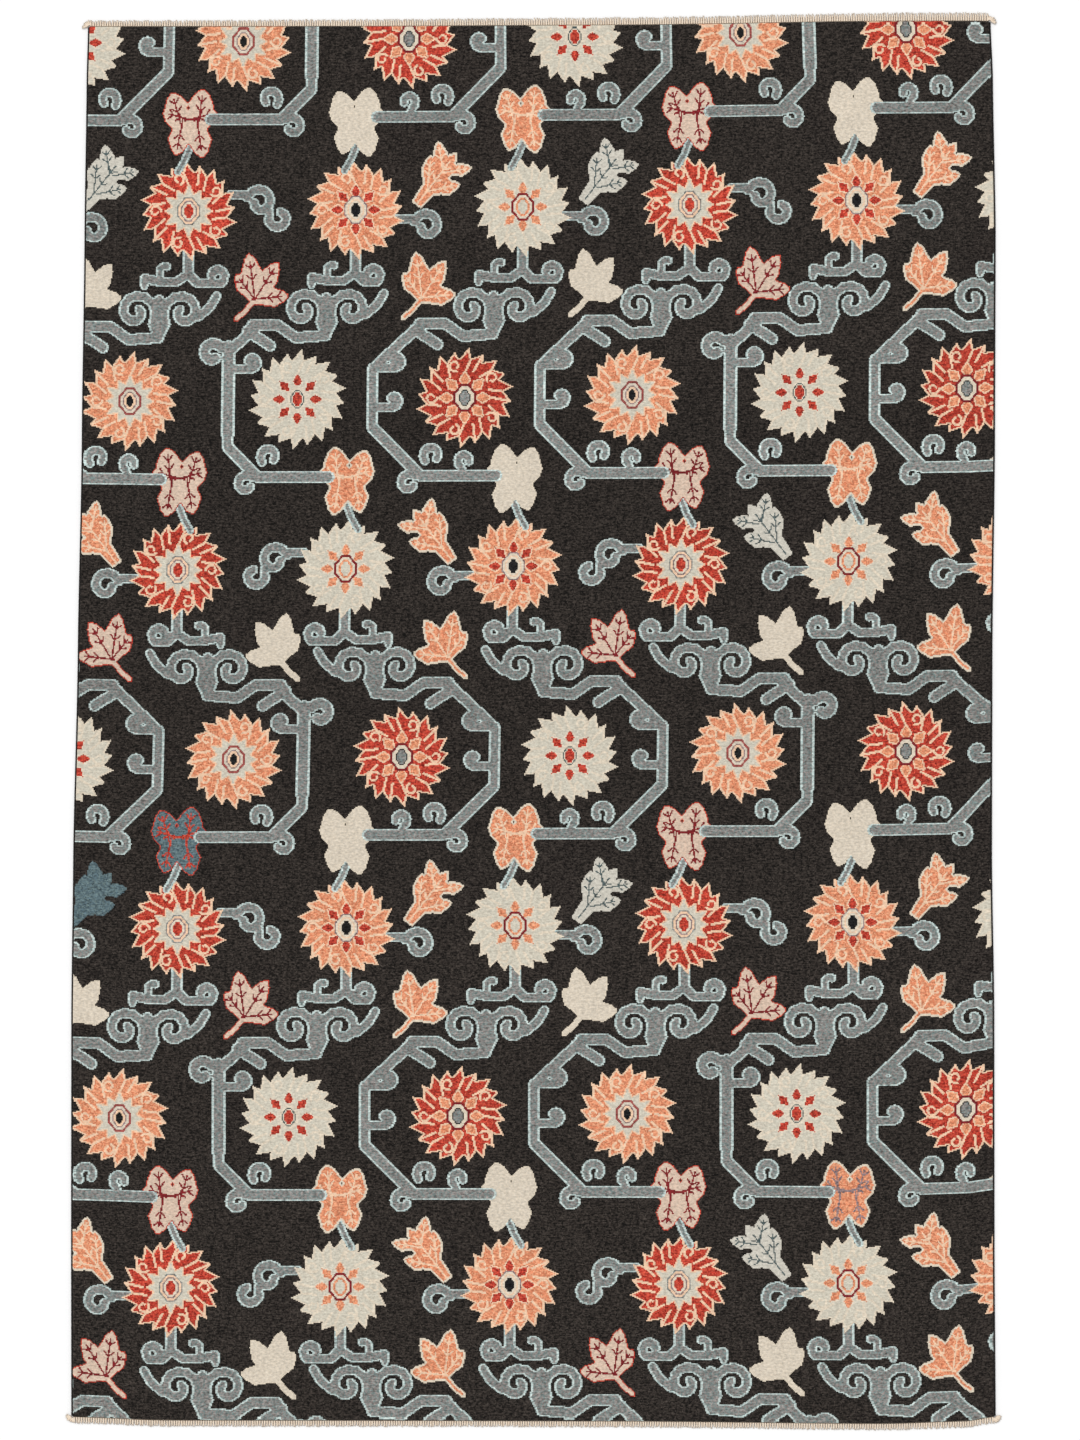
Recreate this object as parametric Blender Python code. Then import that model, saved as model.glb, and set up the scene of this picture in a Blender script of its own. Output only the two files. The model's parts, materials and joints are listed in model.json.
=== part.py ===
"""Hand-knotted wool rug with a short cut-warp fringe, lying flat.

Five pieces: the knotted body, an overcast selvedge cord down each long side, and the
fringe of cut warp ends across each short end. Metres, +Z up. The rug's length runs along
Y, its pile faces up, and the origin is the middle of its underside.

Two numbers place a point on the rug: across, from 0 at the left selvedge to 1 at the
right, and along, from 0 at the near end to 1 at the far end. The woven edges aren't
straight, so both are read through the tables of side and end stations.
"""
import math

import bmesh
import bpy
from mathutils import Vector

# Body
LENGTH = 3.000              # nominal, between the two woven ends
PILE_TOP = 0.008            # underside to the tips of the pile
PILE_ROUNDING = 0.0022      # how far the sheared pile rounds off at the edges
BODY_ROWS = 60              # outline points down each side
BODY_COLUMNS = 40           # outline points across each end
GAP = 0.0003                # between neighbouring pieces

# Woven sides: share of the length from the near end, and where the left and right
# edges of the pile lie from the rug's centre line.
SIDES = (
    # along, left, right
    (0.00, -0.9890, 0.9930),
    (0.12, -0.9895, 0.9905),
    (0.29, -0.9890, 0.9900),
    (0.40, -0.9850, 0.9850),
    (0.55, -0.9750, 0.9860),
    (0.70, -0.9665, 0.9915),
    (0.85, -0.9605, 0.9930),
    (0.96, -0.9560, 0.9870),
    (1.00, -0.9530, 0.9820),
)

# Woven ends: share of the width from the left, and how far each end runs past the
# nominal length there.
ENDS = (
    # across, near end, far end
    (0.00, -0.0045, -0.0050),
    (0.10, 0.0030, -0.0050),
    (0.30, 0.0035, -0.0045),
    (0.60, 0.0050, -0.0015),
    (0.88, 0.0105, 0.0065),
    (0.97, 0.0050, 0.0070),
    (1.00, -0.0045, 0.0065),
)

# Selvedge: wool overcast round the outer warps
SELVEDGE_DIAMETER = 0.0040
SELVEDGE_SHORT = 0.0006     # the cord stops this far short of each woven end

# Fringe: cut warp ends. The header is the row of warps just outside the last knots.
FRINGE_THICKNESS = 0.0026
FRINGE_HEADER = 0.0035
TUFTS = 110                 # bundles of warp ends across one end
TUFT_ROOT_SHARE = 0.66      # of the pitch, at the header
TUFT_TIP_SHARE = 0.40       # of the pitch, at the cut
FRINGE_LENGTHS = (
    # across, near end, far end
    (0.00, 0.0150, 0.0140),
    (0.45, 0.0140, 0.0165),
    (0.75, 0.0145, 0.0180),
    (1.00, 0.0155, 0.0195),
)
TUFT_UNEVENNESS = 0.0012    # how much the cut wanders from tuft to tuft
TUFT_LEAN = 0.0016          # how far a tip leans sideways
FAN_TUFTS = 4               # tufts at each corner that fan outwards
# How far the outermost tuft of each corner spreads past the side: left, right
CORNER_SPREAD = {"near": (0.0165, 0.0185), "far": (0.0165, 0.0100)}

# Colours: linear red, green, blue
CHARCOAL = (0.030, 0.026, 0.023)
BLACK_WOOL = (0.012, 0.011, 0.011)
COTTON = (0.72, 0.62, 0.50)


def clear_scene():
    for thing in list(bpy.data.objects):
        bpy.data.objects.remove(thing, do_unlink=True)


def read_table(table, place, column):
    """A column of a station table at any place, eased so that the edge has no kinks."""
    for low, high in zip(table, table[1:]):
        if place <= high[0]:
            part = (place - low[0]) / (high[0] - low[0])
            ease = part * part * (3.0 - 2.0 * part)
            return low[column] + (high[column] - low[column]) * (0.5 * part + 0.5 * ease)
    return table[-1][column]


def on_rug(across, along):
    """Floor position of a point of the pile, from its shares of the width and length."""
    left = read_table(SIDES, along, 1)
    right = read_table(SIDES, along, 2)
    near = -LENGTH / 2 - read_table(ENDS, across, 1)
    far = LENGTH / 2 + read_table(ENDS, across, 2)
    return left + (right - left) * across, near + (far - near) * along


def wool(name, colour, roughness):
    material = bpy.data.materials.new(name)
    material.use_nodes = True
    shader = material.node_tree.nodes["Principled BSDF"]
    shader.inputs["Base Color"].default_value = (*colour, 1.0)
    shader.inputs["Roughness"].default_value = roughness
    shader.inputs["Metallic"].default_value = 0.0
    return material


def new_object(name, mesh, material):
    thing = bpy.data.objects.new(name, mesh)
    mesh.materials.append(material)
    bpy.context.collection.objects.link(thing)
    return thing


def slab(name, outline, height, rounding, material):
    """A flat piece: a closed outline raised to its height, its upper edge rounded."""
    shape = bmesh.new()
    corners = [shape.verts.new((x, y, 0.0)) for x, y in outline]
    base = shape.faces.new(corners)
    raised = bmesh.ops.extrude_face_region(shape, geom=[base])["geom"]
    top = [item for item in raised if isinstance(item, bmesh.types.BMVert)]
    bmesh.ops.translate(shape, verts=top, vec=(0.0, 0.0, height))
    if rounding:
        level = height - 1e-6
        rim = [edge for edge in shape.edges
               if all(corner.co.z > level for corner in edge.verts)]
        bmesh.ops.bevel(shape, geom=rim, offset=rounding, offset_type="OFFSET",
                        segments=2, profile=0.5, affect="EDGES", material=-1)
    bmesh.ops.recalc_face_normals(shape, faces=shape.faces)
    mesh = bpy.data.meshes.new(name)
    shape.to_mesh(mesh)
    shape.free()
    return new_object(name, mesh, material)


def body_outline():
    """The pile's edge, counter-clockwise from its near left corner."""
    across = [step / BODY_COLUMNS for step in range(BODY_COLUMNS)]
    along = [step / BODY_ROWS for step in range(BODY_ROWS)]
    near = [on_rug(share, 0.0) for share in across]
    right = [on_rug(1.0, share) for share in along]
    far = [on_rug(1.0 - share, 1.0) for share in across]
    left = [on_rug(0.0, 1.0 - share) for share in along]
    return near + right + far + left


def selvedge(name, across, material):
    """The overcast cord down one side: a tube that follows the pile's edge."""
    side = 1 if across > 0.5 else -1
    radius = SELVEDGE_DIAMETER / 2
    cord = bpy.data.curves.new(name, "CURVE")
    cord.dimensions = "3D"
    cord.bevel_depth = radius
    cord.bevel_resolution = 2
    cord.use_fill_caps = True
    line = cord.splines.new("POLY")
    line.points.add(BODY_ROWS)
    short = SELVEDGE_SHORT / LENGTH
    for row, point in enumerate(line.points):
        along = min(max(row / BODY_ROWS, short), 1.0 - short)
        x, y = on_rug(across, along)
        point.co = (x + side * (radius + GAP), y, radius, 1.0)
    thing = bpy.data.objects.new(name, cord)
    cord.materials.append(material)
    bpy.context.collection.objects.link(thing)
    return thing


def fringe_outline(end):
    """One end's comb of warp ends: its header beside the pile, then tuft by tuft."""
    along, out, column = (0.0, -1, 1) if end == "near" else (1.0, 1, 2)

    def edge_point(across, reach, lean=0.0):
        x, y = on_rug(across, along)
        return x + lean, y + out * reach

    inner = [edge_point(1.0 - step / BODY_COLUMNS, GAP) for step in range(BODY_COLUMNS + 1)]
    outer = []
    for tuft in range(TUFTS):
        middle = (tuft + 0.5) / TUFTS
        root = TUFT_ROOT_SHARE / TUFTS / 2
        tip = TUFT_TIP_SHARE / TUFTS / 2
        reach = read_table(FRINGE_LENGTHS, middle, column)
        reach += TUFT_UNEVENNESS * math.sin(tuft * 2.4) * math.cos(tuft * 0.7)
        lean = TUFT_LEAN * math.sin(tuft * 1.3 + along) + corner_lean(end, tuft)
        outer.append(edge_point(middle - root, FRINGE_HEADER))
        outer.append(edge_point(middle - tip, reach, lean))
        outer.append(edge_point(middle + tip, reach, lean))
        outer.append(edge_point(middle + root, FRINGE_HEADER))
    return inner + outer


def corner_lean(end, tuft):
    """How far a tuft near a corner leans outwards: most at the corner itself."""
    from_corner = min(tuft, TUFTS - 1 - tuft)
    if from_corner >= FAN_TUFTS:
        return 0.0
    side = -1 if tuft < FAN_TUFTS else 1
    spread = CORNER_SPREAD[end][0 if side < 0 else 1]
    fan = (1.0 - from_corner / FAN_TUFTS) ** 1.5
    return side * spread * fan


def centre_on_origin(things):
    """Moves everything so that the origin is the middle of the whole rug's underside."""
    bpy.context.view_layer.update()
    corners = [Vector(corner) for thing in things for corner in thing.bound_box]
    middle_x = (min(c.x for c in corners) + max(c.x for c in corners)) / 2
    middle_y = (min(c.y for c in corners) + max(c.y for c in corners)) / 2
    lowest = min(c.z for c in corners)
    for thing in things:
        thing.location = (-middle_x, -middle_y, -lowest)


def build():
    clear_scene()
    pile_wool = wool("pile_wool", CHARCOAL, 0.95)
    selvedge_wool = wool("selvedge_wool", BLACK_WOOL, 0.9)
    warp_cotton = wool("warp_cotton", COTTON, 0.95)
    things = [
        slab("rug_body", body_outline(), PILE_TOP, PILE_ROUNDING, pile_wool),
        selvedge("selvedge_left", 0.0, selvedge_wool),
        selvedge("selvedge_right", 1.0, selvedge_wool),
        slab("fringe_near", fringe_outline("near"), FRINGE_THICKNESS, 0.0, warp_cotton),
        slab("fringe_far", fringe_outline("far"), FRINGE_THICKNESS, 0.0, warp_cotton),
    ]
    centre_on_origin(things)


build()
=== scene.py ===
"""Looks of a hand-knotted wool rug with an all-over pattern of flowers, leaves and cloud scrolls.

The pattern is knotted from a weaver's chart: one square of the chart is one knot of the pile,
about 2.5 mm. Flowers, leaves, spirals and vines are worked out from named sizes, short lists of
lobes and short routes, each round its own middle, then stamped on the chart in a regular repeat.
Metres, +Z up, length along Y, pile upwards.
"""

import json
import math
import random

import bmesh
import bpy
import numpy as np
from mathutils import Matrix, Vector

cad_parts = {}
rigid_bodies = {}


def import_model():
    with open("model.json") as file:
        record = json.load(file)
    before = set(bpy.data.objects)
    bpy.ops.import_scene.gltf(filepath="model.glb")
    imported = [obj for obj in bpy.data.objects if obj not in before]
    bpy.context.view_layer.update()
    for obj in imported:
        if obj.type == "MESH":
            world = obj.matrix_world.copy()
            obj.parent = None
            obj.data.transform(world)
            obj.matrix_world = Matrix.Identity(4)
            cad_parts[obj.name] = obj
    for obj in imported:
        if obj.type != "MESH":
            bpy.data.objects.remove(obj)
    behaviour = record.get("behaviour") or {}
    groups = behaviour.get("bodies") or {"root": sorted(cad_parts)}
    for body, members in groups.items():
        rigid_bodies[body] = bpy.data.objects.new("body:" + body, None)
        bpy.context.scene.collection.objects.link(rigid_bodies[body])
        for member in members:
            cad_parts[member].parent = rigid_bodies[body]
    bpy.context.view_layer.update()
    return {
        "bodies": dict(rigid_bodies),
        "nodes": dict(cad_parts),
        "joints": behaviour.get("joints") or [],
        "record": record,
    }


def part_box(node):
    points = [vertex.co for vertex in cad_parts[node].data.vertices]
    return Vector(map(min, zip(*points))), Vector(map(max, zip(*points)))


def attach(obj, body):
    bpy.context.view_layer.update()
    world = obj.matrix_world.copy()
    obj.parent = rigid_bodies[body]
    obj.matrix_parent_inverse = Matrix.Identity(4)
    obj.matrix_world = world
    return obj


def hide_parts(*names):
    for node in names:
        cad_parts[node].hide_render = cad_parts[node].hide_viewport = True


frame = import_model()

# ---------------------------------------------------------------- the rug's edges
LENGTH = 3.000
PILE_TOP = 0.008
PILE_FOOT = 0.0026          # top of the foundation, where the pile starts

# Woven sides: share of the length from the near end, then the left and right edges
SIDES = (
    # along, left, right
    (0.00, -0.9890, 0.9930),
    (0.12, -0.9895, 0.9905),
    (0.29, -0.9890, 0.9900),
    (0.40, -0.9850, 0.9850),
    (0.55, -0.9750, 0.9860),
    (0.70, -0.9665, 0.9915),
    (0.85, -0.9605, 0.9930),
    (0.96, -0.9560, 0.9870),
    (1.00, -0.9530, 0.9820),
)
# Woven ends: share of the width from the left, then how far each end runs past the length
ENDS = (
    # across, near end, far end
    (0.00, -0.0045, -0.0050),
    (0.10, 0.0030, -0.0050),
    (0.30, 0.0035, -0.0045),
    (0.60, 0.0050, -0.0015),
    (0.88, 0.0105, 0.0065),
    (0.97, 0.0050, 0.0070),
    (1.00, -0.0045, 0.0065),
)
# Fringe: how long the warp ends are
FRINGE_LENGTHS = (
    # across, near end, far end
    (0.00, 0.0150, 0.0140),
    (0.45, 0.0140, 0.0165),
    (0.75, 0.0145, 0.0180),
    (1.00, 0.0155, 0.0195),
)


def read_table(table, place, column):
    """A column of a station table at any places, eased as the rug's edges are."""
    stations = np.array(table)
    place = np.asarray(place, float)
    low = np.clip(np.searchsorted(stations[:, 0], place, side="right") - 1, 0, len(stations) - 2)
    start, finish = stations[low], stations[low + 1]
    part = (place - start[..., 0]) / (finish[..., 0] - start[..., 0])
    ease = part * part * (3.0 - 2.0 * part)
    share = 0.5 * part + 0.5 * ease
    return start[..., column] + (finish[..., column] - start[..., column]) * share


def unshifted(across, along):
    left, right = read_table(SIDES, along, 1), read_table(SIDES, along, 2)
    near = -LENGTH / 2 - read_table(ENDS, across, 1)
    far = LENGTH / 2 + read_table(ENDS, across, 2)
    return left + (right - left) * across, near + (far - near) * along


steps = np.linspace(0.0, 1.0, 121)
body_low, body_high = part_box("rug_body")
SHIFT_X = body_low.x - unshifted(0.0 * steps, steps)[0].min()
SHIFT_Y = body_low.y - unshifted(steps, 0.0 * steps)[1].min()


def on_rug(across, along):
    """Floor position of points of the pile, from their shares of the width and length."""
    x, y = unshifted(np.asarray(across, float), np.asarray(along, float))
    return x + SHIFT_X, y + SHIFT_Y



# ---------------------------------------------------------------- chart tools
COLUMNS, ROWS = 788, 1200
SPAN = 104                  # knots drawn either side of a motif's middle

# Yarns: the order is the order of the pile's material slots
GROUND, ICE, SLATE, CREAM, RED, CORAL, SAGE = range(7)
GREIGE, MAROON, BLUE, BLACK, SHADE, PLUM, PEACH, STONE, ROSE, BLUSH = range(7, 17)
BARE = -1

reach = np.arange(-SPAN, SPAN) + 0.5
X, Y = np.meshgrid(reach, reach)


def area(points):
    """Knots inside a closed outline."""
    inside = np.zeros(X.shape, bool)
    for (ax, ay), (bx, by) in zip(points, points[1:] + points[:1]):
        if ay != by:
            crosses = (ay > Y) != (by > Y)
            inside ^= crosses & (X < (bx - ax) * (Y - ay) / (by - ay) + ax)
    return inside


def line(points, width):
    """Knots within half the width of a line through the points."""
    near = np.zeros(X.shape, bool)
    for (ax, ay), (bx, by) in zip(points, points[1:]):
        run, rise = bx - ax, by - ay
        share = ((X - ax) * run + (Y - ay) * rise) / max(run * run + rise * rise, 1e-9)
        share = np.clip(share, 0.0, 1.0)
        near |= np.hypot(X - ax - share * run, Y - ay - share * rise) <= width / 2
    return near


def moved(mask, right, up):
    return np.roll(np.roll(mask, right, axis=1), up, axis=0)


def shrink(mask, knots):
    for step in range(knots):
        less = mask.copy()
        for right, up in ((1, 0), (-1, 0), (0, 1), (0, -1)):
            less &= moved(mask, right, up)
        mask = less
    return mask


def inside_edge(mask):
    """What an edge line leaves of a shape: the line is one knot tall and two wide."""
    inner = shrink(mask, 1)
    return inner & moved(inner, 1, 0) & moved(inner, -1, 0)


def blank():
    return np.full(X.shape, BARE)


def polar(radius, degrees, middle=(0.0, 0.0)):
    """A point so far from a middle, its direction counted clockwise from straight up."""
    turn = math.radians(degrees)
    return middle[0] + radius * math.sin(turn), middle[1] + radius * math.cos(turn)


def curl(middle, radius, start, sweep, tightening=0.5):
    """A spiral: it starts at a direction from its middle, sweeps round and tightens as it goes."""
    steps = max(4, int(abs(sweep) / 30))
    return [polar(radius * (1.0 - tightening * step / steps), start + sweep * step / steps, middle)
            for step in range(steps + 1)]


# ---------------------------------------------------------------- flower
RAGS = 20                   # pointed tips round the flower
FLOWER_TIP, FLOWER_NOTCH = 43.0, 34.0
RAG_LEAN = 5.0              # degrees that each tip leans clockwise
PETAL_RING = 29.0           # middle of the ring of curled petals
STAR_POINTS = 12
STAR_TIP, STAR_NOTCH = 22.0, 14.0
PETALS, PETAL_ROOT, PETAL_TIP, PETAL_SPREAD = 8, 10, 22, 15     # the last in degrees


def ragged(tips, tip, notch, lean):
    """A closed outline of pointed tips that all lean one way, every other one shorter."""
    points = []
    for number in range(tips):
        middle = 360.0 * number / tips
        longer = 2.5 if number % 2 else 0.0
        points += [polar(tip - longer, middle + lean), polar(notch, middle + 180.0 / tips)]
    return points


def petal_lines():
    """The pale lines of the petal ring: a divider at each other notch, and a curl between."""
    lines = []
    for number in range(RAGS // 2):
        middle = 360.0 * (number + 0.5) * 2 / RAGS
        lines.append([polar(STAR_TIP, middle - 18), polar(FLOWER_NOTCH, middle - 9)])
        if number % 2:
            lines.append(curl(polar(PETAL_RING, middle), 5.0, middle + 180, 330))
        else:
            lines.append([polar(24, middle), polar(37, middle + 4)])
    return lines


def petals(count, inner, outer, width):
    """Pointed petals set apart round the eye."""
    shapes = []
    for number in range(count):
        turn = 360.0 * number / count
        shapes.append([polar(inner, turn), polar((inner + outer) / 2, turn - width),
                       polar(outer, turn), polar((inner + outer) / 2, turn + width)])
    return shapes


def eye(knots, wide, tall, rings):
    """Nested blunt lozenges: each ring is a yarn and how many knots it is thick."""
    for yarn, thick in rings:
        knots[area([(-wide / 3, tall), (wide / 3, tall), (wide, tall / 3), (wide, -tall / 3),
                    (wide / 3, -tall), (-wide / 3, -tall), (-wide, -tall / 3), (-wide, tall / 3)])] = yarn
        wide, tall = max(wide - thick, 1.0), max(tall - thick, 1.0)


def flower(edge, body, line_yarn, star, petal, rings):
    knots = blank()
    whole = area(ragged(RAGS, FLOWER_TIP, FLOWER_NOTCH, RAG_LEAN))
    knots[whole] = edge
    knots[inside_edge(whole)] = body
    for points in petal_lines():
        knots[line(points, 2.0) & whole] = line_yarn
    if star == "whole":
        shapes = [ragged(STAR_POINTS, STAR_TIP, STAR_NOTCH, 0.0)]
    else:
        shapes = petals(PETALS, PETAL_ROOT, PETAL_TIP, PETAL_SPREAD)
    for points in shapes:
        knots[line(points + points[:1], 2.4)] = line_yarn
    for points in shapes:
        knots[area(points)] = petal
    eye(knots, 10, 12, rings)
    return knots


# ---------------------------------------------------------------- leaves
def lobe(length, width, turn, root=(0.0, 0.0)):
    """A lobe: where it starts, its tip, and how wide it is."""
    return root, polar(length, turn, root), width


def lobe_area(root, tip, width):
    """A lobe's blunt-pointed outline: broad past its middle, with a shoulder each side."""
    run, rise = tip[0] - root[0], tip[1] - root[1]
    long = math.hypot(run, rise)

    def place(share, aside):
        return (root[0] + share * run - aside * width * rise / long,
                root[1] + share * rise + aside * width * run / long)

    half = [(-0.05, 0.30), (0.35, 0.42), (0.62, 0.56), (0.80, 0.40), (0.92, 0.30), (1.05, 0.04)]
    return area([place(*at) for at in half] + [place(share, -aside) for share, aside in half[::-1]])


# Each kind's lobes by length, width, direction and root, in knots, and the stem of a kind that has one
LEAVES = {
    "split": ((lobe(32, 21, 8, (7, -4)), lobe(30, 20, -16, (-7, -4)), lobe(27, 22, -76, (4, 2)),
               lobe(27, 22, 76, (-4, 2)), lobe(33, 19, 171, (6, 4)), lobe(31, 18, 190, (-6, 4))), None),
    "side": ((lobe(52, 17, 38, (-16, -24)), lobe(30, 13, 6, (-8, -14)), lobe(26, 12, -10, (6, 2)),
              lobe(26, 13, 78, (-6, -14)), lobe(22, 11, 80, (8, 2))), None),
    "lobed": ((lobe(38, 17, -8, (-6, -12)), lobe(36, 16, 32, (-6, -12)), lobe(30, 16, 84, (-8, -12)),
               lobe(26, 14, -38, (-6, -12))), [(-6, -12), (-14, -22), (-22, -29)]),
}


def leaf(kind, body, edge, vein, vein_width=1.5, edge_knots=1):
    """A leaf of pointed lobes, with a midrib and two pairs of side veins in each."""
    lobes, stem = LEAVES[kind]
    whole = np.zeros(X.shape, bool)
    for root, tip, width in lobes:
        whole |= lobe_area(root, tip, width)
    if stem:
        whole |= line(stem, 5.0)
    knots = blank()
    knots[whole] = edge
    inner = shrink(whole, edge_knots)
    knots[inner] = body
    if vein is None:
        return knots
    for (ax, ay), (bx, by), width in lobes:
        run, rise = (bx - ax), (by - ay)
        long = math.hypot(run, rise)
        knots[line([(ax, ay), (ax + 0.85 * run, ay + 0.85 * rise)], vein_width) & inner] = vein
        for share in (0.45, 0.7):
            for side in (-1, 1):
                start = (ax + share * run, ay + share * rise)
                end = (start[0] + 4 * run / long - side * 4 * rise / long,
                       start[1] + 4 * rise / long + side * 4 * run / long)
                knots[line([start, end], vein_width) & inner] = vein
    return knots


# ---------------------------------------------------------------- vines
VINE = 10.0                 # width of a vine's band
CURL = 8.0                  # width of the curls that grow from it
HALF_TALL = 67.0            # middle of the flower to the bars above and below it
SIDE_STRAIGHT, SIDE_ROUND = 60.0, 80.0
CHAMFER_STRAIGHT, CHAMFER_ROUND = 26, 42    # how much of each corner is cut off
SPIRAL = 18.0               # radius of a cloud's spiral
SPIRAL_TIGHTENING = 0.80    # share of that radius lost on the way in
CLOUD_BAND = 8.5
CLOUD_RISE = 77.0


def scroll(*bands):
    """Slate bands with an ice edge. Each band is a width and a route."""
    whole = np.zeros(X.shape, bool)
    for width, points in bands:
        whole |= line(points, width)
    knots = blank()
    knots[whole] = ICE
    knots[inside_edge(whole)] = SLATE
    return knots


def cloud():
    """Two open spirals on one stem with a tail, and the bands that join them to the frame."""
    stem = (24, HALF_TALL - 12)
    left, right = (4, CLOUD_RISE), (45, CLOUD_RISE)
    return [
        (CLOUD_BAND, [stem, *curl(left, SPIRAL, 125, -430, SPIRAL_TIGHTENING)]),
        (CLOUD_BAND, [stem, *curl(right, SPIRAL, 235, 430, SPIRAL_TIGHTENING)]),
        (VINE, [stem, (24, CLOUD_RISE + 10)]),
        (CLOUD_BAND, [(58, CLOUD_RISE - 4), (68, CLOUD_RISE + 4), (74, CLOUD_RISE + 14)]),
        (VINE, [(-40, HALF_TALL - 3), (-18, HALF_TALL - 3), (-2, HALF_TALL - 14), stem]),
        (VINE, [(-44, HALF_TALL - 8), (-24, 46)]),
    ]


def vine(side, chamfer):
    """Half an eight-sided frame round a flower, with curls inside it and a bar below."""
    corner = HALF_TALL - chamfer
    frame = [(-side + chamfer, HALF_TALL - 3), (-side, corner), (-side, -corner),
             (-side + chamfer, -HALF_TALL), (28, -HALF_TALL)]
    inner = -side + 20
    bands = [(VINE, frame), (CURL, [(-side, 26), (inner, 26)]), (CURL, curl((inner, 32), 6, 180, -250)),
             (CURL, curl((-side + chamfer + 10, -HALF_TALL + 18), 8, 230, 260, 0.4)),
             (CURL, curl((-side + chamfer - 10, -HALF_TALL - 6), 8, 40, -280, 0.4))]
    return bands


def straight_vine():
    return scroll(*cloud(), *vine(SIDE_STRAIGHT, CHAMFER_STRAIGHT),
                  (VINE + 2, [(-SIDE_STRAIGHT, -30), (-SIDE_STRAIGHT, 45)]),
                  (VINE, curl((-SIDE_STRAIGHT - 14, 40), 9, 60, -270, 0.4)))


def round_vine():
    return scroll(*cloud(), *vine(SIDE_ROUND, CHAMFER_ROUND),
                  (CURL, [(-SIDE_ROUND, -8), (-SIDE_ROUND + 18, -8)]),
                  (CURL, curl((-SIDE_ROUND + 18, -2), 6, 180, -230)),
                  (CURL, [(0, -HALF_TALL), *curl((0, -HALF_TALL + 13), 6, 210, 250, 0.3)]))


def foot(spread):
    """The forked foot under a turned flower: one arm branches, the other ends in a curl."""
    return scroll(
        (9.0, [(0, -34), (0, -54)]),
        (8.5, [(0, -54), (-10, -61), (-24, -61), (-38, -58)]),
        (7.0, [(-38, -58), (-38, -65)]),
        (7.5, [(-24, -60), *curl((-20, -52), 5, 250, 130, 0.1)]),
        (8.5, [(0, -54), (8, -62), (spread - 5, -62), *curl((spread - 5, -56), 7, 150, -230, 0.3)]),
    )


def side_curl(height, second):
    """A spiral that grows from a flower's side; a second, smaller one may hang from it."""
    bands = [(8.5, [(36, height), (50, height), *curl((62, height - 6), 12, -70, 330, 0.55)])]
    if second:
        bands.append((8.5, [(70, height - 14), *curl((78, height - 20), 9, 250, -230, 0.4)]))
    return scroll(*bands)


def stem_link():
    return scroll((6.5, [(0, 54), (-4, 44), (-10, 34)]))


# ---------------------------------------------------------------- colourings
EYES = {
    "upright O": ((ROSE, 2), (GREIGE, 2), (PLUM, 1), (PEACH, 2), (BLACK, 9)),
    "upright C": ((GREIGE, 2), (CREAM, 2), (SHADE, 1), (CREAM, 1), (RED, 9)),
    "upright R": ((MAROON, 2), (CREAM, 3), (BLACK, 1), (SLATE, 9)),
    "turned O": ((PLUM, 1), (CREAM, 2), (PEACH, 1), (CREAM, 2), (BLACK, 9)),
    "turned C": ((MAROON, 2), (CREAM, 2), (CORAL, 2), (SAGE, 9)),
    "turned R": ((SLATE, 1), (PEACH, 2), (PLUM, 1), (CREAM, 2), (RED, 9)),
}
UPRIGHT = {
    "C": flower(CREAM, SAGE, CREAM, "petals", RED, EYES["upright C"]),
    "R": flower(PEACH, RED, PEACH, "petals", CORAL, EYES["upright R"]),
    "O": flower(PEACH, CORAL, PEACH, "whole", SAGE, EYES["upright O"]),
}
TURNED = {
    "C": flower(CREAM, SAGE, CREAM, "petals", CORAL, EYES["turned C"]),
    "R": flower(PEACH, RED, PEACH, "whole", SAGE, EYES["turned R"]),
    "O": flower(PEACH, CORAL, PEACH, "petals", RED, EYES["turned O"]),
}


def colourings(kind, extra):
    made = {
        "P": leaf(kind, BLUSH, RED, MAROON),
        "K": leaf(kind, GREIGE, CREAM, None),
        "O": leaf(kind, CORAL, CREAM, PEACH, 1.5, 2),
    }
    made.update(extra)
    return made


SPLIT = colourings("split", {
    "B": leaf("split", BLUE, RED, RED),
    "V": leaf("split", CORAL, CREAM, PLUM, 1.5, 2),
})
SIDE = colourings("side", {"G": leaf("side", STONE, STONE, SHADE, 1.1), "B": leaf("side", BLUE, BLUE, None)})
LOBED = colourings("lobed", {"S": leaf("lobed", STONE, STONE, None)})
STRAIGHT, ROUND = straight_vine(), round_vine()
FOOT = {"wide": foot(30), "tight": foot(20)}
DOUBLE, SINGLE, LINK = side_curl(14, True), side_curl(-8, False), stem_link()

chart = np.full((ROWS, COLUMNS), GROUND)


def stamp(motif, column, row, turn=(1, 1)):
    """Lay a motif with its middle at a column and row. A turn of -1 mirrors it: across, along."""
    knots = motif[::turn[1], ::turn[0]]
    left, low = int(round(column)) - SPAN, int(round(row)) - SPAN
    a, b = max(left, 0), min(left + 2 * SPAN, COLUMNS)
    c, d = max(low, 0), min(low + 2 * SPAN, ROWS)
    if a < b and c < d:
        part = knots[c - low:d - low, a - left:b - left]
        chart[c:d, a:b][part != BARE] = part[part != BARE]

# ---------------------------------------------------------------- the repeat
STEP = 145                  # knots from one flower to the next along a row
BAND = 309                  # rows from one upright row to the next
FIRST_UPRIGHT = -50
CLIMB = 8                   # rows that a weaver's row climbs on its way across
TURNED_RISE, LOBED_RISE, SPLIT_RISE, SIDE_RISE = 163, 98, 76, 30
LOBED_ASIDE, SIDE_ASIDE = 32, 70
LOBED_FOR = {"O": "K", "C": "P", "R": "O"}     # leaf below a flower's cloud, by its colouring

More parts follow.
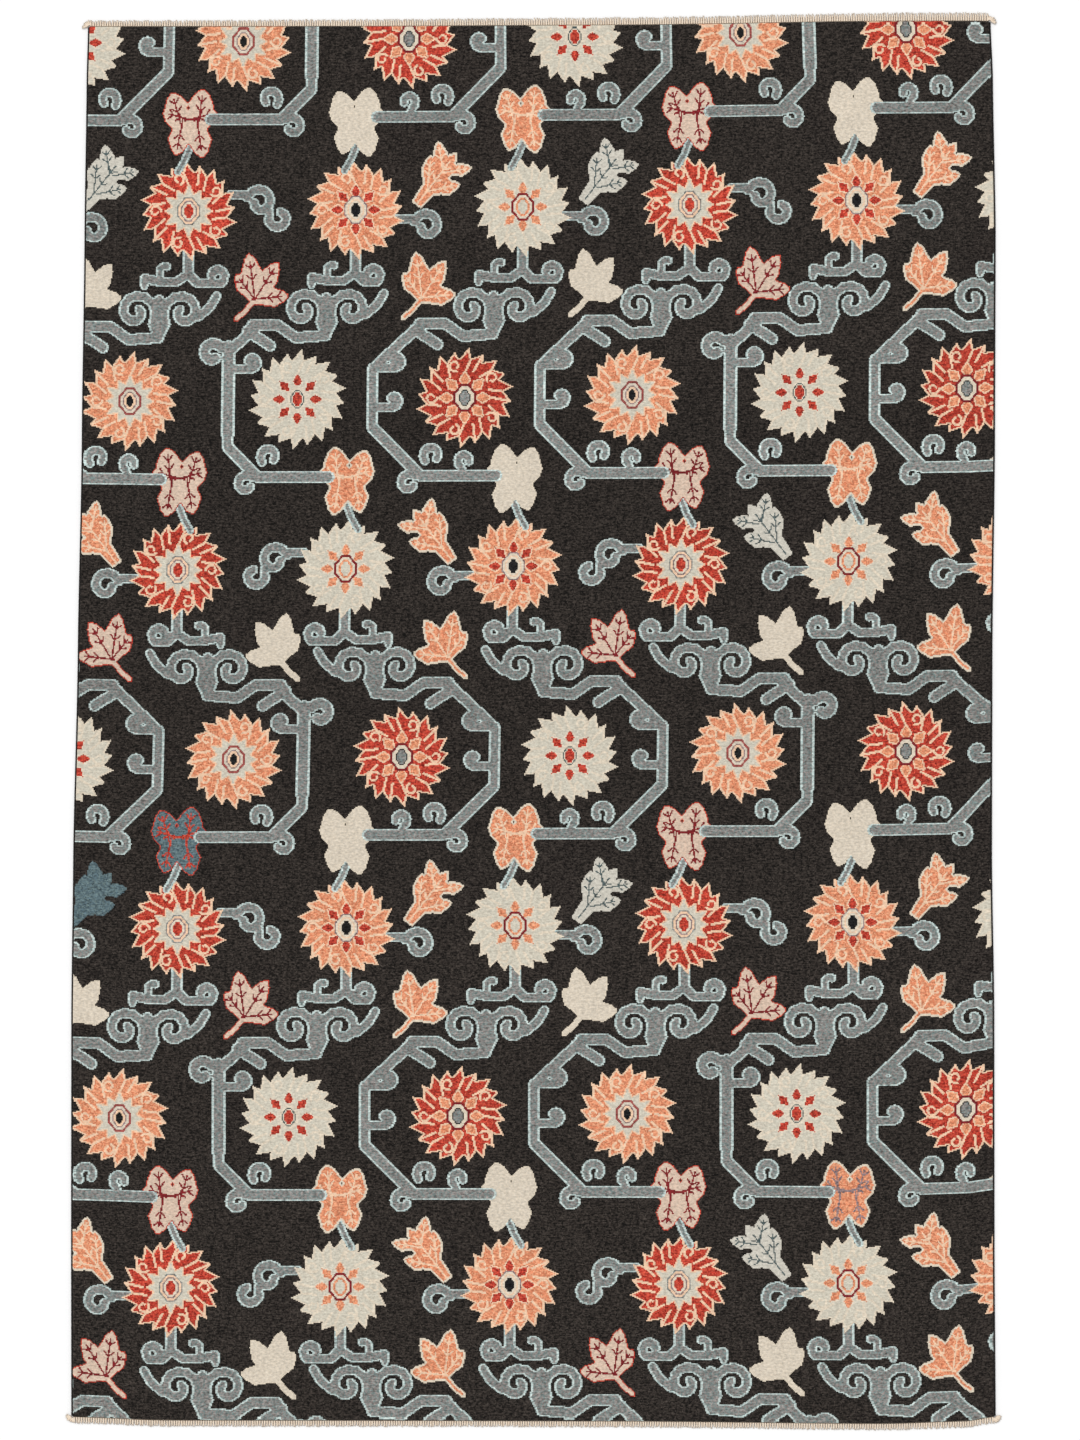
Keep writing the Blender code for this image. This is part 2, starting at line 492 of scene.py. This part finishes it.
# Each band of the repeat from the near end: which way it faces, where its first upright and
# first turned flower stand, and the order of the colourings
BANDS_OF_REPEAT = (
    # facing, first upright, uprights, first turned, turned flowers with leaf above and side leaf
    (-1, -10, "COR", 84, (("R", "P", "O"), ("C", "O", None), ("O", "K", "O"), ("R", "P", None),
                          ("C", "V", "G"), ("O", "K", "O"))),
    (1, 40, "OCR", -56, (("C", "K", "B"), ("R", "B", None), ("O", "K", "O"), ("C", "O", "G"),
                         ("R", "P", None), ("O", "K", "O"), ("C", "O", None))),
    (-1, -10, "COR", 84, (("R", "P", "O"), ("C", "O", None), ("O", "K", "O"), ("R", "P", None),
                          ("C", "O", "G"), ("O", "K", "O"))),
    (1, 40, "OCR", -56, (("C", "K", "G"), ("R", "P", None), ("O", "K", "O"), ("C", "O", "G"),
                         ("R", "P", None), ("O", "K", "O"), ("C", "O", None))),
    (-1, -10, "COR", 84, ()),
)


def lay_out():
    for number, (way, upright, kinds, turned, flowers) in enumerate(BANDS_OF_REPEAT):
        base = FIRST_UPRIGHT + number * BAND

        def row_at(rise, column):
            return base + rise + CLIMB * column / COLUMNS

        for place in range(6):
            column = upright + place * STEP
            kind = kinds[place % 3]
            stamp(STRAIGHT if kind == kinds[1] else ROUND, column, row_at(0, column), (way, 1))
            stamp(LOBED[LOBED_FOR[kind]], column - LOBED_ASIDE * way, row_at(LOBED_RISE, column), (way, 1))
        for place, (kind, above, side) in enumerate(flowers):
            column = turned + place * STEP
            row = row_at(TURNED_RISE, column)
            stamp(FOOT["tight" if side == "O" else "wide"], column, row, (way, 1))
            stamp(SINGLE if side else DOUBLE, column, row, (way, 1))
            if side:
                stamp(SIDE[side], column + SIDE_ASIDE * way, row + SIDE_RISE, (way, 1))
            stamp(TURNED[kind], column, row, (way, -1))
            stamp(LINK, column, row, (way, 1))
            stamp(SPLIT[above], column, row + SPLIT_RISE, (way, 1))
        for place in range(6):
            column = upright + place * STEP
            stamp(UPRIGHT[kinds[place % 3]], column, row_at(0, column), (way, 1))


lay_out()

# ---------------------------------------------------------------- yarns
def colour_of(red, green, blue):
    """A dyed wool's colour, from how it looks in even light, as linear numbers."""
    return tuple(((part / 255 + 0.055) / 1.055) ** 2.4 for part in (red, green, blue)) + (1.0,)


YARNS = (
    # name, main shade, second shade, how much the second shows, unevenness, dye lot
    ("charcoal", (37, 32, 29), (50, 45, 41), 0.7, 0.26, "Dark"),
    ("ice", (200, 212, 207), (156, 174, 172), 0.9, 0.14, "Blue"),
    ("slate", (148, 140, 136), (104, 118, 116), 1.0, 0.15, "Blue"),
    ("cream", (220, 206, 185), (204, 194, 176), 0.6, 0.06, "Pale"),
    ("red", (171, 49, 38), (191, 83, 63), 0.7, 0.15, "Red"),
    ("coral", (213, 128, 93), (220, 160, 124), 0.8, 0.10, "Pale"),
    ("sage", (204, 196, 179), (197, 193, 178), 0.7, 0.06, "Pale"),
    ("greige", (213, 202, 185), (203, 190, 171), 0.7, 0.06, "Pale"),
    ("maroon", (128, 35, 38), (106, 30, 36), 0.6, 0.12, "Red"),
    ("blue", (84, 104, 112), (96, 112, 112), 0.8, 0.15, "Pale"),
    ("black", (26, 25, 26), (34, 36, 35), 0.5, 0.20, "Pale"),
    ("teal", (84, 96, 96), (68, 80, 80), 0.7, 0.15, "Pale"),
    ("plum", (142, 118, 116), (124, 110, 116), 0.7, 0.15, "Pale"),
    ("peach", (232, 198, 169), (225, 186, 153), 0.7, 0.06, "Pale"),
    ("stone", (201, 196, 184), (190, 186, 174), 0.7, 0.06, "Pale"),
    ("rose", (158, 80, 74), (132, 66, 64), 0.7, 0.12, "Red"),
    ("blush", (212, 190, 171), (203, 175, 155), 0.7, 0.07, "Pale"),
)
# Wool comes in dye lots: how many follow each other up the rug, and how far each family drifts
LOTS = 5.0
DRIFT = {"Dark": 0.60, "Blue": 0.36, "Pale": 0.12, "Red": 0.50}


def link(tree, start, finish):
    tree.links.new(start, finish)


def math_node(tree, operation, first, second, third=None):
    """A Math node fed with numbers or with other nodes' outputs."""
    made = tree.nodes.new("ShaderNodeMath")
    made.operation = operation
    for number, value in enumerate((first, second, third)):
        if value is None:
            continue
        if isinstance(value, (int, float)):
            made.inputs[number].default_value = value
        else:
            link(tree, value, made.inputs[number])
    return made.outputs[0]


def dye_lots_group():
    """How bright each family of dyes is at a row of knots: it drifts from lot to lot."""
    tree = bpy.data.node_groups.new("dye lots", "ShaderNodeTree")
    for name in DRIFT:
        tree.interface.new_socket(name, in_out="OUTPUT", socket_type="NodeSocketFloat")
    add = tree.nodes.new
    out = add("NodeGroupOutput")
    place = add("ShaderNodeUVMap")
    place.uv_map = "knots"
    split = add("ShaderNodeSeparateXYZ")
    link(tree, place.outputs[0], split.inputs[0])
    lots = math_node(tree, "DIVIDE", split.outputs["Y"], ROWS / LOTS)
    for number, drift in enumerate(DRIFT.values()):
        noise = add("ShaderNodeTexNoise")
        noise.noise_dimensions = "1D"
        noise.inputs["Scale"].default_value = 1.0
        link(tree, math_node(tree, "ADD", lots, 10.0 * number), noise.inputs["W"])
        bright = math_node(tree, "MULTIPLY", noise.outputs[0], drift)
        link(tree, math_node(tree, "ADD", bright, 1.0 - drift / 2), out.inputs[number])
    return tree


def knotted_wool_group():
    """Shade and relief of knotted pile: every knot takes the dye a little differently, and rows of
    knots differ too. Place comes from the map that counts knots."""
    tree = bpy.data.node_groups.new("knotted wool", "ShaderNodeTree")
    face = tree.interface
    for name in ("Shade A", "Shade B"):
        face.new_socket(name, in_out="INPUT", socket_type="NodeSocketColor")
    for name in ("Second Share", "Unevenness", "Lot"):
        face.new_socket(name, in_out="INPUT", socket_type="NodeSocketFloat")
    face.new_socket("Colour", in_out="OUTPUT", socket_type="NodeSocketColor")
    face.new_socket("Height", in_out="OUTPUT", socket_type="NodeSocketFloat")
    add = tree.nodes.new
    given, out = add("NodeGroupInput"), add("NodeGroupOutput")
    place = add("ShaderNodeUVMap")
    place.uv_map = "knots"
    whole = add("ShaderNodeVectorMath")
    whole.operation = "FLOOR"
    link(tree, place.outputs[0], whole.inputs[0])
    part = add("ShaderNodeVectorMath")
    part.operation = "FRACTION"
    link(tree, place.outputs[0], part.inputs[0])

    knot = add("ShaderNodeTexWhiteNoise")          # one value for each knot
    knot.noise_dimensions = "2D"
    link(tree, whole.outputs[0], knot.inputs["Vector"])

    def noise(scale_x, scale_y, detail):
        stretch = add("ShaderNodeVectorMath")
        stretch.operation = "MULTIPLY"
        stretch.inputs[1].default_value = (scale_x, scale_y, 1.0)
        link(tree, place.outputs[0], stretch.inputs[0])
        made = add("ShaderNodeTexNoise")
        made.noise_dimensions = "2D"
        made.inputs["Scale"].default_value = 1.0
        made.inputs["Detail"].default_value = detail
        made.inputs["Roughness"].default_value = 0.6
        link(tree, stretch.outputs[0], made.inputs["Vector"])
        return made.outputs["Fac"]

    def sums(operation, first, second, third=None):
        return math_node(tree, operation, first, second, third)

    streak = noise(0.13, 0.95, 2.0)                # dashes along a row, clearest in uneven wool
    cloud = noise(0.05, 0.05, 2.0)                 # slow drift across the rug
    mottle = noise(0.45, 0.45, 1.0)
    tuft = noise(0.34, 0.62, 1.0)                  # neighbouring knots lean together
    fibre = noise(9.0, 5.0, 2.0)                   # single hairs, seen close to

    # Which shade: knots near in colour cluster
    blend = sums("MULTIPLY_ADD", knot.outputs["Value"], 0.8, sums("SUBTRACT", mottle, 0.62))
    blend = sums("MULTIPLY", blend, 1.6)
    share = sums("MULTIPLY", blend, given.outputs["Second Share"])
    share = sums("MAXIMUM", sums("MINIMUM", share, 1.0), 0.0)
    dyes = add("ShaderNodeMix")
    dyes.data_type = "RGBA"
    link(tree, share, dyes.inputs["Factor"])
    link(tree, given.outputs["Shade A"], dyes.inputs["A"])
    link(tree, given.outputs["Shade B"], dyes.inputs["B"])

    # How bright: 1 on average
    uneven = 0.0
    streaks = sums("MULTIPLY", given.outputs["Unevenness"], 38.0)
    for value, weight in ((knot.outputs["Value"], 3.4), (tuft, 11.0), (streak, streaks),
                          (cloud, 2.4), (fibre, 2.4)):
        uneven = sums("MULTIPLY_ADD", sums("SUBTRACT", value, 0.5), weight, uneven)
    bright = sums("MULTIPLY_ADD", uneven, given.outputs["Unevenness"], 1.0)
    bright = sums("MULTIPLY", sums("MAXIMUM", bright, 0.2), given.outputs["Lot"])
    lit = add("ShaderNodeVectorMath")
    lit.operation = "SCALE"
    link(tree, dyes.outputs["Result"], lit.inputs[0])
    link(tree, bright, lit.inputs["Scale"])
    link(tree, lit.outputs[0], out.inputs["Colour"])

    # Relief: each knot a small tuft, rows a little apart
    split = add("ShaderNodeSeparateXYZ")
    link(tree, part.outputs[0], split.inputs[0])
    across = sums("ABSOLUTE", sums("MULTIPLY_ADD", split.outputs["X"], 2.0, -1.0), None)
    along = sums("ABSOLUTE", sums("MULTIPLY_ADD", split.outputs["Y"], 2.0, -1.0), None)
    groove = sums("ADD", sums("MULTIPLY", sums("POWER", across, 4.0), 0.35), sums("POWER", along, 4.0))
    height = sums("MULTIPLY_ADD", knot.outputs["Value"], 0.5, 0.6)
    height = sums("SUBTRACT", height, sums("MULTIPLY", groove, 0.5))
    height = sums("ADD", height, sums("MULTIPLY", fibre, 0.6))
    link(tree, height, out.inputs["Height"])
    return tree


def principled(name):
    material = bpy.data.materials.new(name)
    material.use_nodes = True
    return material, material.node_tree, material.node_tree.nodes["Principled BSDF"]


def wool(name, main, second, share, unevenness, lot):
    material, tree, shader = principled(name)
    effect = tree.nodes.new("ShaderNodeGroup")
    effect.node_tree = pile_group
    effect.inputs["Shade A"].default_value = colour_of(*main)
    effect.inputs["Shade B"].default_value = colour_of(*second)
    effect.inputs["Second Share"].default_value = share
    effect.inputs["Unevenness"].default_value = unevenness
    lots = tree.nodes.new("ShaderNodeGroup")
    lots.node_tree = lots_group
    link(tree, lots.outputs[lot], effect.inputs["Lot"])
    link(tree, effect.outputs["Colour"], shader.inputs["Base Color"])
    bump = tree.nodes.new("ShaderNodeBump")
    bump.inputs["Strength"].default_value = 0.5
    bump.inputs["Distance"].default_value = 0.0008
    link(tree, effect.outputs["Height"], bump.inputs["Height"])
    link(tree, bump.outputs[0], shader.inputs["Normal"])
    shader.inputs["Roughness"].default_value = 0.92
    shader.inputs["Specular IOR Level"].default_value = 0.12
    shader.inputs["Sheen Weight"].default_value = 0.06
    shader.inputs["Sheen Roughness"].default_value = 0.5
    return material


def spun_yarn_group():
    """Shade and relief of spun cotton or wool: fine fibres and slow changes of tone, with painted shade that
    darkens the yarn the lower it lies, towards the floor.
    """
    tree = bpy.data.node_groups.new("spun yarn", "ShaderNodeTree")
    face = tree.interface
    for name in ("Shade A", "Shade B"):
        face.new_socket(name, in_out="INPUT", socket_type="NodeSocketColor")
    face.new_socket("Colour", in_out="OUTPUT", socket_type="NodeSocketColor")
    face.new_socket("Height", in_out="OUTPUT", socket_type="NodeSocketFloat")
    add = tree.nodes.new
    given, out = add("NodeGroupInput"), add("NodeGroupOutput")
    place = add("ShaderNodeTexCoord")
    tone = add("ShaderNodeTexNoise")
    tone.inputs["Scale"].default_value = 260.0
    tone.inputs["Detail"].default_value = 3.0
    link(tree, place.outputs["Object"], tone.inputs["Vector"])
    hair = add("ShaderNodeTexNoise")
    hair.inputs["Scale"].default_value = 2400.0
    hair.inputs["Detail"].default_value = 2.0
    link(tree, place.outputs["Object"], hair.inputs["Vector"])
    ramp = add("ShaderNodeMapRange")
    ramp.inputs["From Min"].default_value = 0.3
    ramp.inputs["From Max"].default_value = 0.7
    link(tree, tone.outputs["Fac"], ramp.inputs["Value"])
    dyes = add("ShaderNodeMix")
    dyes.data_type = "RGBA"
    link(tree, ramp.outputs["Result"], dyes.inputs["Factor"])
    link(tree, given.outputs["Shade A"], dyes.inputs["A"])
    link(tree, given.outputs["Shade B"], dyes.inputs["B"])
    # painted shade: the yarn is darker the lower it lies, standing in for the shade in the hollows between
    # neighbouring yarns
    parts = add("ShaderNodeSeparateXYZ")
    link(tree, place.outputs["Object"], parts.inputs["Vector"])
    painted_hollow_shade = add("ShaderNodeMapRange")
    painted_hollow_shade.inputs["From Min"].default_value = 0.0022
    painted_hollow_shade.inputs["From Max"].default_value = 0.0046
    painted_hollow_shade.inputs["To Min"].default_value = 0.55
    link(tree, parts.outputs["Z"], painted_hollow_shade.inputs["Value"])
    shaded = add("ShaderNodeVectorMath")
    shaded.operation = "SCALE"
    link(tree, dyes.outputs["Result"], shaded.inputs["Vector"])
    link(tree, painted_hollow_shade.outputs["Result"], shaded.inputs["Scale"])
    link(tree, shaded.outputs["Vector"], out.inputs["Colour"])
    link(tree, hair.outputs["Fac"], out.inputs["Height"])
    return tree


def spun(name, main, second, group, roughness):
    material, tree, shader = principled(name)
    effect = tree.nodes.new("ShaderNodeGroup")
    effect.node_tree = group
    effect.inputs["Shade A"].default_value = colour_of(*main)
    effect.inputs["Shade B"].default_value = colour_of(*second)
    link(tree, effect.outputs["Colour"], shader.inputs["Base Color"])
    bump = tree.nodes.new("ShaderNodeBump")
    bump.inputs["Strength"].default_value = 0.4
    bump.inputs["Distance"].default_value = 0.0003
    link(tree, effect.outputs["Height"], bump.inputs["Height"])
    link(tree, bump.outputs[0], shader.inputs["Normal"])
    shader.inputs["Roughness"].default_value = roughness
    shader.inputs["Specular IOR Level"].default_value = 0.15
    return material


lots_group, pile_group, spun_group = dye_lots_group(), knotted_wool_group(), spun_yarn_group()
pile_yarns = [wool("wool, " + name, *looks) for name, *looks in YARNS]
cotton = spun("warp cotton", (240, 226, 206), (222, 200, 178), spun_group, 0.9)
black_wool = spun("selvedge wool", (38, 34, 32), (54, 50, 48), spun_group, 0.9)
back_cloth = spun("foundation cloth", (150, 138, 122), (128, 118, 106), spun_group, 0.95)


# ---------------------------------------------------------------- pile
PANEL = 32                  # knots between the seams kept in the pile's mesh
BANDS = 4
# The sheared edge: which knot line, how far in it goes, how far it drops (metres)
SHEARED_EDGE = ((0, 0.0, 0.0021), (1, 0.30, 0.0007), (2, 1.0, 0.0))


def numbers(things, name, width, kind=np.float32):
    found = np.empty(len(things) * width, kind)
    things.foreach_get(name, found)
    return found.reshape(-1, width)


def evaluated(thing):
    """The thing's mesh with its modifiers or curve worked out; the thing itself goes."""
    graph = bpy.context.evaluated_depsgraph_get()
    mesh = bpy.data.meshes.new_from_object(thing.evaluated_get(graph))
    bpy.data.objects.remove(thing, do_unlink=True)
    return mesh


def shown(name, mesh, node):
    piece = bpy.data.objects.new(name, mesh)
    mesh.name = name
    bpy.context.scene.collection.objects.link(piece)
    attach(piece, "root")
    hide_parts(node)
    return piece


def knot_squares(first, last):
    """A flat sheet of knot squares in the chart's own units, merged where the yarn is the same."""
    rows = last - first
    shape = bmesh.new()
    bmesh.ops.create_grid(shape, x_segments=COLUMNS, y_segments=rows, size=0.5)
    mesh = bpy.data.meshes.new("squares")
    shape.to_mesh(mesh)
    shape.free()
    places = numbers(mesh.vertices, "co", 3)
    places[:, 0] = np.round((places[:, 0] + 0.5) * COLUMNS)
    places[:, 1] = np.round((places[:, 1] + 0.5) * rows) + first
    mesh.vertices.foreach_set("co", places.ravel())
    corners = numbers(mesh.loops, "vertex_index", 1, np.int32).reshape(-1, 4)
    middles = places[corners].mean(axis=1)
    yarn = chart[middles[:, 1].astype(int), middles[:, 0].astype(int)]
    mesh.polygons.foreach_set("material_index", yarn.astype(np.int32))
    ends = places[numbers(mesh.edges, "vertices", 2, np.int32)]
    start, finish = ends[:, 0], ends[:, 1]
    seam = np.zeros(len(ends), bool)
    for axis, count in ((0, COLUMNS), (1, ROWS)):
        at = start[:, axis]
        kept = (at % PANEL == 0) | (at <= 2) | (at >= count - 2)
        seam |= kept & (at == finish[:, axis])
    mesh.edges.foreach_set("use_seam", seam)
    for material in pile_yarns:
        mesh.materials.append(material)
    sheet = bpy.data.objects.new("squares", mesh)
    bpy.context.scene.collection.objects.link(sheet)
    merge = sheet.modifiers.new("same yarn", "DECIMATE")
    merge.decimate_type = "DISSOLVE"
    merge.angle_limit = 0.02
    merge.delimit = {"MATERIAL", "SEAM"}
    return evaluated(sheet)


def pile_band(name, first, last):
    """One stretch of the pile: a closed slab of cut wool on the foundation."""
    mesh = knot_squares(first, last)
    shape = bmesh.new()
    shape.from_mesh(mesh)
    rim = [edge for edge in shape.edges if edge.is_boundary]
    made = bmesh.ops.extrude_edge_only(shape, edges=rim)["geom"]
    foot = [item for item in made if isinstance(item, bmesh.types.BMVert)]
    bmesh.ops.translate(shape, verts=foot, vec=(0.0, 0.0, -1.0))
    hem = [item for item in made if isinstance(item, bmesh.types.BMEdge) and item.is_boundary]
    bmesh.ops.edgeloop_fill(shape, edges=hem)
    bmesh.ops.recalc_face_normals(shape, faces=shape.faces)
    shape.to_mesh(mesh)
    shape.free()

    places = numbers(mesh.vertices, "co", 3).astype(float)
    low = places[:, 2] < -0.5
    columns, rows = places[:, 0].copy(), places[:, 1].copy()

    # Maps: knots counted over the whole rug, and this band laid out for a bake
    corner = numbers(mesh.loops, "vertex_index", 1, np.int32)[:, 0]
    outward_x = 2.0 * low * ((columns == COLUMNS).astype(float) - (columns == 0))
    outward_y = 2.0 * low * ((rows == last).astype(float) - (rows == first))
    layout = np.stack([(columns + outward_x + 4) / (COLUMNS + 8),
                       (rows - first + outward_y + 4) / (last - first + 8)], 1)
    spread = layout[corner]
    sizes = numbers(mesh.polygons, "loop_total", 1, np.int32)[:, 0]
    owner = np.repeat(np.arange(len(sizes)), sizes)
    under = np.bincount(owner, low[corner], minlength=len(sizes)) == sizes
    spread[under[owner]] *= 1.5 / (COLUMNS + 8)
    for title, values in (("knots", np.stack([columns, rows], 1)[corner]), ("OFBake", spread)):
        layer = mesh.uv_layers.new(name=title)
        layer.data.foreach_set("uv", values.astype(np.float32).ravel())
    mesh.uv_layers["knots"].active_render = True

    # Into metres, with the sheared edge rounded off
    drop = np.zeros(len(columns))
    across, along = columns.copy(), rows.copy()
    for line_number, inset, fall in SHEARED_EDGE:
        for values, place, count in ((columns, across, COLUMNS), (rows, along, ROWS)):
            place[values == line_number] = inset
            place[values == count - line_number] = count - inset
            drop = np.maximum(drop, fall * ((values == line_number) | (values == count - line_number)))
    x, y = on_rug(across / COLUMNS, along / ROWS)
    z = np.where(low, PILE_FOOT, PILE_TOP - drop)
    mesh.vertices.foreach_set("co", np.stack([x, y, z], 1).astype(np.float32).ravel())
    mesh.update()
    return shown(name, mesh, "rug_body")


def foundation():
    """The woven ground of warps and wefts under the pile: a thin flat cloth."""
    shape = bmesh.new()
    bmesh.ops.create_grid(shape, x_segments=40, y_segments=60, size=0.5)
    made = bmesh.ops.extrude_face_region(shape, geom=list(shape.faces))["geom"]
    upper = [item for item in made if isinstance(item, bmesh.types.BMVert)]
    bmesh.ops.translate(shape, verts=upper, vec=(0.0, 0.0, PILE_FOOT - 0.00002))
    bmesh.ops.recalc_face_normals(shape, faces=shape.faces)
    mesh = bpy.data.meshes.new("foundation")
    shape.to_mesh(mesh)
    shape.free()
    places = numbers(mesh.vertices, "co", 3).astype(float)
    x, y = on_rug(places[:, 0] + 0.5, places[:, 1] + 0.5)
    mesh.vertices.foreach_set("co", np.stack([x, y, places[:, 2]], 1).astype(np.float32).ravel())
    mesh.materials.append(back_cloth)
    mesh.update()
    return shown("foundation", mesh, "rug_body")


# ---------------------------------------------------------------- cords and warp ends
def cords(name, paths, thickness, resolution, material, node):
    """Round yarns as one piece. Each path is a list of (x, y, z, share of the thickness)."""
    curve = bpy.data.curves.new(name, "CURVE")
    curve.dimensions = "3D"
    curve.bevel_depth = thickness
    curve.bevel_resolution = resolution
    curve.use_fill_caps = True
    for path in paths:
        spline = curve.splines.new("POLY")
        spline.points.add(len(path) - 1)
        for point, (x, y, z, share) in zip(spline.points, path):
            point.co = (x, y, z, 1.0)
            point.radius = share
    thing = bpy.data.objects.new(name, curve)
    bpy.context.scene.collection.objects.link(thing)
    mesh = evaluated(thing)
    mesh.materials.clear()
    mesh.materials.append(material)
    mesh.polygons.foreach_set("use_smooth", [True] * len(mesh.polygons))
    return shown(name, mesh, node)


SELVEDGE_RADIUS = 0.0020
WRAPS = 1500                # turns of wool round the outer warps of one side


def selvedge(name, across, seed):
    """Outer warps overcast with dark wool: every turn shows as a small swelling."""
    chance = random.Random(seed)
    side = 1 if across > 0.5 else -1
    share = np.linspace(0.0002, 0.9998, 2 * WRAPS + 1)
    x, y = on_rug(np.full(share.shape, float(across)), share)
    path = []
    for number in range(len(share)):
        swell = (0.99 if number % 2 else 0.86) - 0.04 * chance.random()
        sway = 0.00008 * chance.uniform(-1, 1)
        path.append((x[number] + side * (SELVEDGE_RADIUS + 0.0003) + sway, y[number], SELVEDGE_RADIUS, swell))
    return cords(name, [path], SELVEDGE_RADIUS, 1, black_wool, name)


BUNDLE_PITCH = 0.0052       # between neighbouring bundles of warp ends
BUNDLE = 0.0023             # radius of a bundle where it leaves the pile
HAIRS = 5                   # loose fibres at the tip of a bundle
TUFT_ENDS = 9               # bundles of the tuft at each corner
TUFT_LENGTH = 0.0135


def bundle(chance, x, y, heading, length, bend, paths):
    """A plump twist of warp ends that leaves the pile at x, y and frays into fibres at its tip.

    The heading is a direction on the floor; the tip ends up off it by the bend."""
    aside = (-heading[1], heading[0])
    height = BUNDLE * chance.uniform(1.22, 1.5)
    plump = chance.uniform(0.85, 1.08)

    def at(reach, off):
        return x + heading[0] * reach + aside[0] * off, y + heading[1] * reach + aside[1] * off

    twist = []
    for step in range(7):
        part = step / 6
        swell = plump * (1.05 - 0.30 * part + 0.10 * math.sin(step * 2.6 + 900 * x))
        twist.append((*at(0.0016 + part * length * 0.68, bend * (part * 0.7) ** 1.3), height, swell))
    paths.append(twist)
    reach, off = 0.0016 + 0.56 * length, bend * 0.5
    for hair in range(HAIRS):
        away = bend * 0.5 + chance.uniform(-0.0022, 0.0022)
        far_off = (length - reach) * chance.uniform(0.7, 1.08)
        strand = []
        for step in range(3):
            part = step / 2
            lift = height * (1.0 - 0.35 * part) + chance.uniform(-0.0004, 0.0006)
            strand.append((*at(reach + far_off * part, off + away * part ** 1.2), lift, 0.36 - 0.18 * part))
        paths.append(strand)


def fringe(end, seed):
    """Cut warp ends in plump bundles side by side, and a tuft at each corner that fans out."""
    chance = random.Random(seed)
    along, out, column = (0.0, -1, 1) if end == "near" else (1.0, 1, 2)
    count = int(round(1.96 / BUNDLE_PITCH))
    paths = []
    for number in range(count):
        across = (number + 0.5) / count
        x, y = (float(value) for value in on_rug(across, along))
        length = float(read_table(FRINGE_LENGTHS, across, column)) + chance.uniform(-0.0012, 0.0014)
        bundle(chance, x, y, (0.0, out), length, chance.uniform(-0.0012, 0.0012), paths)
    for across, side in ((0.0, -1), (1.0, 1)):
        x, y = (float(value) for value in on_rug(across, along))
        for number in range(TUFT_ENDS):
            turn = math.radians(8 + 105 * number / (TUFT_ENDS - 1) + chance.uniform(-8, 8))
            heading = (side * math.sin(turn), out * math.cos(turn))
            start = side * (0.0045 * number / (TUFT_ENDS - 1) - 0.0005)
            length = TUFT_LENGTH * chance.uniform(0.75, 1.05)
            bundle(chance, x + start, y + out * 0.0022, heading, length, chance.uniform(-0.001, 0.001), paths)
    # shoots of weft that hold the warps in place beside the last knots
    for reach in (0.0008, 0.0024):
        share = np.linspace(0.0, 1.0, 481)
        x, y = on_rug(share, np.full(share.shape, along))
        paths.append([(x[i], y[i] + out * reach, 0.0014 + 0.0003 * (i % 2), 0.4) for i in range(len(share))])
    return cords("fringe_" + end, paths, BUNDLE, 1, cotton, "fringe_" + end)


band = ROWS // BANDS
for number in range(BANDS):
    pile_band(f"pile_{number + 1}", number * band, (number + 1) * band)
cloth = foundation()
left_cord = selvedge("selvedge_left", 0.0, 3)
right_cord = selvedge("selvedge_right", 1.0, 4)
near_fringe = fringe("near", 5)
far_fringe = fringe("far", 6)


# ---------------------------------------------------------------- floor, light, camera
def floor():
    shape = bmesh.new()
    bmesh.ops.create_grid(shape, x_segments=1, y_segments=1, size=20.0)
    mesh = bpy.data.meshes.new("floor")
    shape.to_mesh(mesh)
    shape.free()
    thing = bpy.data.objects.new("floor", mesh)
    bpy.context.scene.collection.objects.link(thing)
    material, tree, shader = principled("pale floor")
    shader.inputs["Base Color"].default_value = (0.93, 0.93, 0.93, 1.0)
    shader.inputs["Roughness"].default_value = 1.0
    shader.inputs["Specular IOR Level"].default_value = 0.0
    mesh.materials.append(material)


floor()

world = bpy.data.worlds.new("studio")
bpy.context.scene.world = world
world.use_nodes = True
sky = world.node_tree.nodes["Background"]
sky.inputs["Color"].default_value = (1.0, 1.0, 1.0, 1.0)
sky.inputs["Strength"].default_value = 0.80

lamp = bpy.data.lights.new("soft overhead light", "SUN")
lamp.energy = 1.25
lamp.angle = math.radians(25)
sun = bpy.data.objects.new("soft overhead light", lamp)
sun.rotation_euler = (math.radians(-28), math.radians(-30), 0.0)
bpy.context.scene.collection.objects.link(sun)

camera = bpy.data.cameras.new("camera")
camera.lens = 85.0
camera.clip_end = 100.0
eye_point = bpy.data.objects.new("camera", camera)
FRAME_HEIGHT = 3.1012       # metres of floor in the picture, top to bottom
eye_point.location = (0.0161 + SHIFT_X, 0.0032 + SHIFT_Y, FRAME_HEIGHT * camera.lens / camera.sensor_width)
bpy.context.scene.collection.objects.link(eye_point)
bpy.context.scene.camera = eye_point
bpy.context.scene.view_settings.view_transform = "Standard"
